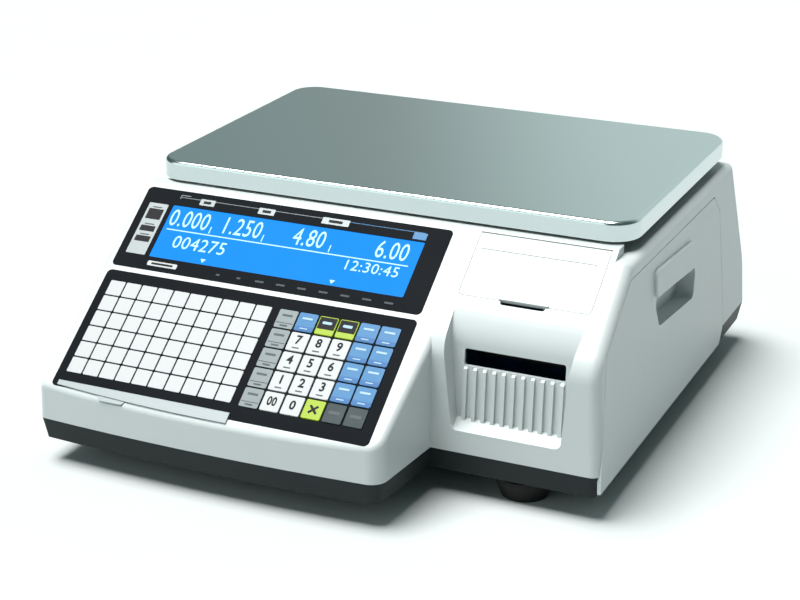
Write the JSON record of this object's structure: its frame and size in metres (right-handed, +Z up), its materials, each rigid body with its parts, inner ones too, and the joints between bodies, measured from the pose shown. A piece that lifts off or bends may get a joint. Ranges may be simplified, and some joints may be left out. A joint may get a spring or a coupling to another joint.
{
  "type": "retail price scale",
  "caption": "Counter-top label-printing price scale: steel weighing platter over a sloped display, keypad and slide-out label printer.",
  "frame": {"origin": "on the floor plane under the middle of the footprint", "axes": "+Z up, -Y towards the operator, +X to the operator's right"},
  "size_m": [0.404, 0.4521, 0.189],
  "materials": {
    "white_shell": "moulded ABS, light satin sheen",
    "black_base": "moulded, fine grain",
    "bezel_black": "polished acrylic-like sheet",
    "lcd_blue": "backlit display glass",
    "circuit_board": "green lacquered laminate",
    "key_grey": "printed key film",
    "key_blue": "printed key film",
    "key_white": "printed key cap",
    "key_black": "printed key cap",
    "key_lime": "printed key cap",
    "key_dark": "printed key cap",
    "strip_grey": "moulded strip",
    "platter_steel": "satin stainless sheet",
    "cast_aluminium": "die cast or milled",
    "zinc_steel": "zinc plated sheet",
    "black_rubber": "moulded rubber",
    "nylon": "natural nylon",
    "label_paper": "paper, edges of a wound roll",
    "motor_black": "black lacquer",
    "lever_green": "moulded lever",
    "level_glass": "clear vial with tinted fluid",
    "window_clear": "tinted clear window",
    "connector_black": "moulded connector"
  },
  "bodies": {
    "root": {"base_pan": "black_base", "upper_housing": "white_shell", "display_bezel": "bezel_black", "lcd_module": "lcd_blue", "display_board": "circuit_board", "keypad_frame": "bezel_black", "keypad_board": "circuit_board", "speed_keys": "key_white", "menu_keys": "key_grey", "function_keys": "key_blue", "cell_mount": "cast_aluminium", "load_cell": "cast_aluminium", "overload_stops": "zinc_steel", "main_board": "circuit_board", "power_supply": "zinc_steel", "power_inlet": "connector_black", "io_connectors": "connector_black", "rear_window": "window_clear", "rear_lcd": "lcd_blue", "bubble_level": "level_glass", "housing_screws": "zinc_steel", "cartridge_rails": "zinc_steel"},
    "weigh_frame": {"spider": "cast_aluminium", "platter_pads": "black_rubber"},
    "platter": {"platter": "platter_steel"},
    "key_zero": {"key_zero": "key_black"},
    "key_tare": {"key_tare": "key_black"},
    "key_7": {"key_7": "key_white"},
    "key_8": {"key_8": "key_white"},
    "key_9": {"key_9": "key_white"},
    "key_4": {"key_4": "key_white"},
    "key_5": {"key_5": "key_white"},
    "key_6": {"key_6": "key_white"},
    "key_1": {"key_1": "key_white"},
    "key_2": {"key_2": "key_white"},
    "key_3": {"key_3": "key_white"},
    "key_00": {"key_00": "key_white"},
    "key_0": {"key_0": "key_white"},
    "key_c": {"key_c": "key_lime"},
    "key_print_a": {"key_print_a": "key_dark"},
    "key_print_b": {"key_print_b": "key_dark"},
    "strip": {"key_sheet_strip": "strip_grey"},
    "flap": {"printer_flap": "white_shell", "flap_pins": "zinc_steel"},
    "cartridge": {"cartridge_front": "white_shell", "cartridge_chassis": "zinc_steel", "stepper_motor": "motor_black"},
    "head": {"head_lever": "lever_green", "print_head": "cast_aluminium"},
    "platen": {"platen_roller": "black_rubber", "platen_gear": "nylon"},
    "pinion": {"motor_pinion": "nylon"},
    "supply": {"label_roll": "label_paper", "supply_spindle": "nylon"},
    "takeup": {"takeup_spool": "nylon"},
    "foot_front_left": {"foot_front_left": "black_rubber"},
    "foot_front_right": {"foot_front_right": "black_rubber"},
    "foot_rear_left": {"foot_rear_left": "black_rubber"},
    "foot_rear_right": {"foot_rear_right": "black_rubber"},
    "rocker": {"power_switch": "connector_black"}
  },
  "joints": [
    {"name": "weigh_travel", "type": "slide", "parent": "root", "child": "weigh_frame", "axis": [0, 0, -1], "range_m": [0, 0.0005], "stiffness_N_per_m": 294000, "springref_m": -0.00006, "deforming": ["load_cell"]},
    {"name": "platter_lift", "type": "slide", "parent": "weigh_frame", "child": "platter", "axis": [0, 0, 1], "range_m": [0, 0.06]},
    {"name": "key_zero_press", "type": "slide", "parent": "root", "child": "key_zero", "axis": [0, 0.592, -0.8059], "range_m": [0, 0.0008], "stiffness_N_per_m": 1000, "springref_m": -0.0005},
    {"name": "key_tare_press", "type": "slide", "parent": "root", "child": "key_tare", "axis": [0, 0.592, -0.8059], "range_m": [0, 0.0008], "stiffness_N_per_m": 1000, "springref_m": -0.0005},
    {"name": "key_7_press", "type": "slide", "parent": "root", "child": "key_7", "axis": [0, 0.592, -0.8059], "range_m": [0, 0.0008], "stiffness_N_per_m": 1000, "springref_m": -0.0005},
    {"name": "key_8_press", "type": "slide", "parent": "root", "child": "key_8", "axis": [0, 0.592, -0.8059], "range_m": [0, 0.0008], "stiffness_N_per_m": 1000, "springref_m": -0.0005},
    {"name": "key_9_press", "type": "slide", "parent": "root", "child": "key_9", "axis": [0, 0.592, -0.8059], "range_m": [0, 0.0008], "stiffness_N_per_m": 1000, "springref_m": -0.0005},
    {"name": "key_4_press", "type": "slide", "parent": "root", "child": "key_4", "axis": [0, 0.592, -0.8059], "range_m": [0, 0.0008], "stiffness_N_per_m": 1000, "springref_m": -0.0005},
    {"name": "key_5_press", "type": "slide", "parent": "root", "child": "key_5", "axis": [0, 0.592, -0.8059], "range_m": [0, 0.0008], "stiffness_N_per_m": 1000, "springref_m": -0.0005},
    {"name": "key_6_press", "type": "slide", "parent": "root", "child": "key_6", "axis": [0, 0.592, -0.8059], "range_m": [0, 0.0008], "stiffness_N_per_m": 1000, "springref_m": -0.0005},
    {"name": "key_1_press", "type": "slide", "parent": "root", "child": "key_1", "axis": [0, 0.592, -0.8059], "range_m": [0, 0.0008], "stiffness_N_per_m": 1000, "springref_m": -0.0005},
    {"name": "key_2_press", "type": "slide", "parent": "root", "child": "key_2", "axis": [0, 0.592, -0.8059], "range_m": [0, 0.0008], "stiffness_N_per_m": 1000, "springref_m": -0.0005},
    {"name": "key_3_press", "type": "slide", "parent": "root", "child": "key_3", "axis": [0, 0.592, -0.8059], "range_m": [0, 0.0008], "stiffness_N_per_m": 1000, "springref_m": -0.0005},
    {"name": "key_00_press", "type": "slide", "parent": "root", "child": "key_00", "axis": [0, 0.592, -0.8059], "range_m": [0, 0.0008], "stiffness_N_per_m": 1000, "springref_m": -0.0005},
    {"name": "key_0_press", "type": "slide", "parent": "root", "child": "key_0", "axis": [0, 0.592, -0.8059], "range_m": [0, 0.0008], "stiffness_N_per_m": 1000, "springref_m": -0.0005},
    {"name": "key_c_press", "type": "slide", "parent": "root", "child": "key_c", "axis": [0, 0.592, -0.8059], "range_m": [0, 0.0008], "stiffness_N_per_m": 1000, "springref_m": -0.0005},
    {"name": "key_print_a_press", "type": "slide", "parent": "root", "child": "key_print_a", "axis": [0, 0.592, -0.8059], "range_m": [0, 0.0008], "stiffness_N_per_m": 1000, "springref_m": -0.0005},
    {"name": "key_print_b_press", "type": "slide", "parent": "root", "child": "key_print_b", "axis": [0, 0.592, -0.8059], "range_m": [0, 0.0008], "stiffness_N_per_m": 1000, "springref_m": -0.0005},
    {"name": "strip_hinge", "type": "hinge", "parent": "root", "child": "strip", "pos_m": [0, -0.21752, 0.06566], "axis": [-1, 0, 0], "range_deg": [0, 50]},
    {"name": "flap_hinge", "type": "hinge", "parent": "root", "child": "flap", "pos_m": [0.131, -0.0725, 0.16958], "axis": [-1, 0, 0], "range_deg": [0, 90]},
    {"name": "cartridge_slide", "type": "slide", "parent": "root", "child": "cartridge", "axis": [1, 0, 0], "range_m": [0, 0.125]},
    {"name": "head_lift", "type": "hinge", "parent": "cartridge", "child": "head", "pos_m": [0.131, -0.072, 0.123], "axis": [-1, 0, 0], "range_deg": [0, 20]},
    {"name": "platen_spin", "type": "hinge", "parent": "cartridge", "child": "platen", "pos_m": [0.12, -0.108, 0.101], "axis": [1, 0, 0], "continuous": true},
    {"name": "motor_spin", "type": "hinge", "parent": "cartridge", "child": "pinion", "pos_m": [0.072, -0.09442, 0.08742], "axis": [1, 0, 0], "continuous": true},
    {"name": "supply_spin", "type": "hinge", "parent": "cartridge", "child": "supply", "pos_m": [0.12, 0.038, 0.097], "axis": [1, 0, 0], "continuous": true},
    {"name": "takeup_spin", "type": "hinge", "parent": "cartridge", "child": "takeup", "pos_m": [0.12, 0.115, 0.088], "axis": [1, 0, 0], "continuous": true},
    {"name": "foot_front_left_screw", "type": "slide", "parent": "root", "child": "foot_front_left", "axis": [0, 0, -1], "range_m": [0, 0.006]},
    {"name": "foot_front_right_screw", "type": "slide", "parent": "root", "child": "foot_front_right", "axis": [0, 0, -1], "range_m": [0, 0.006]},
    {"name": "foot_rear_left_screw", "type": "slide", "parent": "root", "child": "foot_rear_left", "axis": [0, 0, -1], "range_m": [0, 0.006]},
    {"name": "foot_rear_right_screw", "type": "slide", "parent": "root", "child": "foot_rear_right", "axis": [0, 0, -1], "range_m": [0, 0.006]},
    {"name": "power_rocker", "type": "hinge", "parent": "root", "child": "rocker", "pos_m": [-0.066, 0.2208, 0.056], "axis": [1, 0, 0], "range_deg": [-12, 0]}
  ],
  "couplings": [
    {"joint": "motor_spin", "follows": "platen_spin", "ratio": -1.6667}
  ]
}
